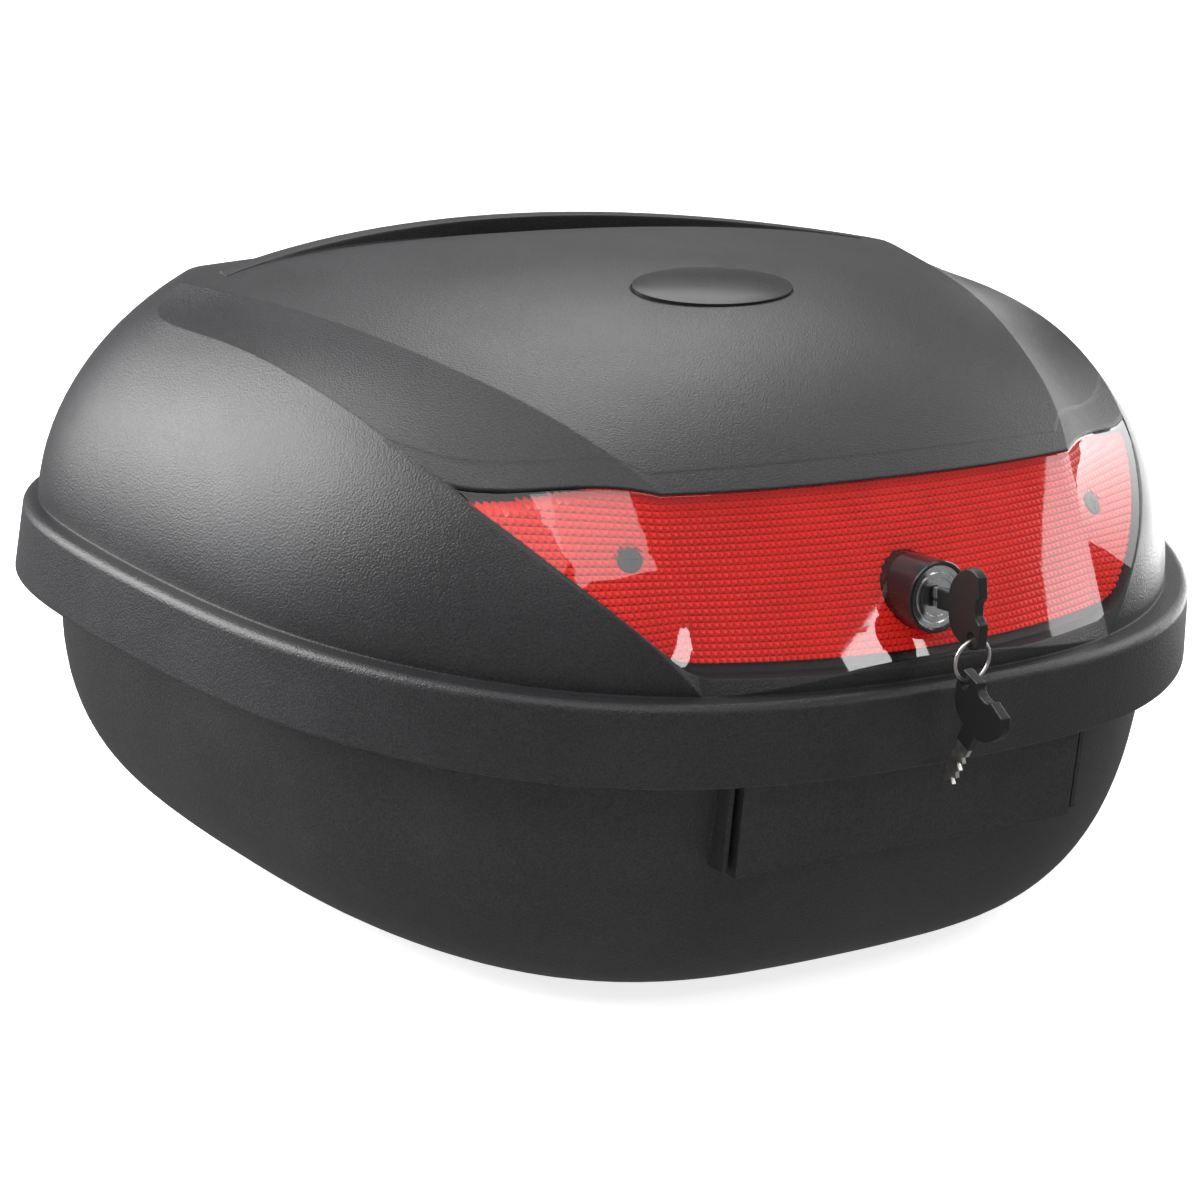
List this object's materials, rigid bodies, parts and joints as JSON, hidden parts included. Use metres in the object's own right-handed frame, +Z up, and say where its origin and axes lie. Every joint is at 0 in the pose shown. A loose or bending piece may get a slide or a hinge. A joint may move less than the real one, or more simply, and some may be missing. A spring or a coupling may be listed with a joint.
{
  "type": "motorcycle top case",
  "caption": "Hard motorcycle top case with a bowl-shaped base, domed hinged lid, red rear reflector, cylinder lock with keys and a quick-release floor catch.",
  "frame": {"origin": "centre of the flat seat on the underside, where the case stands on its mounting plate", "axes": "+Z up, +X to the right seen from behind the motorcycle, -Y to the rear, where the reflector and lock are"},
  "size_m": [0.5755, 0.5036, 0.2908],
  "materials": {
    "shell_plastic": "fine-grained black ABS",
    "lid_plastic": "fine-grained charcoal ABS",
    "seal_rubber": "matt black rubber",
    "mat_rubber": "ribbed black rubber",
    "steel": "zinc-plated steel",
    "dark_screw": "black-oxide steel",
    "red_lens": "clear red acrylic, gloss",
    "prism_red": "moulded red prism grid",
    "badge_gloss": "smoked gloss",
    "bezel_black": "semi-gloss black",
    "chrome": "polished chrome",
    "zinc": "zinc die-cast",
    "key_plastic": "satin black",
    "nickel": "nickel-plated",
    "button_plastic": "red ABS"
  },
  "bodies": {
    "base": {"base_shell": "shell_plastic", "rim_seal": "seal_rubber", "floor_mat": "mat_rubber", "hinge_pin_left": "steel", "hinge_pin_right": "steel", "keeper_bracket": "steel", "keeper_screws": "steel", "release_cover": "shell_plastic", "release_cover_screws": "steel", "release_spring": "steel"},
    "lid": {"lid_shell": "lid_plastic", "reflector_lens": "red_lens", "prism_panel": "prism_red", "reflector_screws": "dark_screw", "badge": "badge_gloss", "lock_bezel": "bezel_black", "lock_barrel": "chrome", "lock_nut": "zinc"},
    "lock_key": {"lock_plug": "chrome", "lock_cam": "zinc", "cam_screw": "steel", "key_head": "key_plastic", "key_blade": "nickel"},
    "key_ring": {"key_ring": "nickel"},
    "spare_key": {"spare_key_head": "key_plastic", "spare_key_blade": "nickel"},
    "release": {"release_slider": "button_plastic"}
  },
  "joints": [
    {"name": "lid_hinge", "type": "hinge", "parent": "base", "child": "lid", "pos_m": [0, 0.231, 0.118], "axis": [-1, 0, 0], "range_deg": [0, 95]},
    {"name": "lock_turn", "type": "hinge", "parent": "lid", "child": "lock_key", "pos_m": [0, -0.2115, 0.1962], "axis": [0, -0.9903, 0.1392], "range_deg": [-90, 0]},
    {"name": "ring_swing", "type": "hinge", "parent": "lock_key", "child": "key_ring", "pos_m": [0, -0.239, 0.18734], "axis": [-1, 0, 0], "range_deg": [-1, 35]},
    {"name": "spare_key_swing", "type": "hinge", "parent": "key_ring", "child": "spare_key", "pos_m": [0, -0.239, 0.16654], "axis": [-1, 0, 0], "range_deg": [-1, 35]},
    {"name": "release_pull", "type": "slide", "parent": "base", "child": "release", "axis": [0, 1, 0], "range_m": [0, 0.009], "stiffness_N_per_m": 250, "springref_m": -0.004, "deforming": ["release_spring"]}
  ]
}
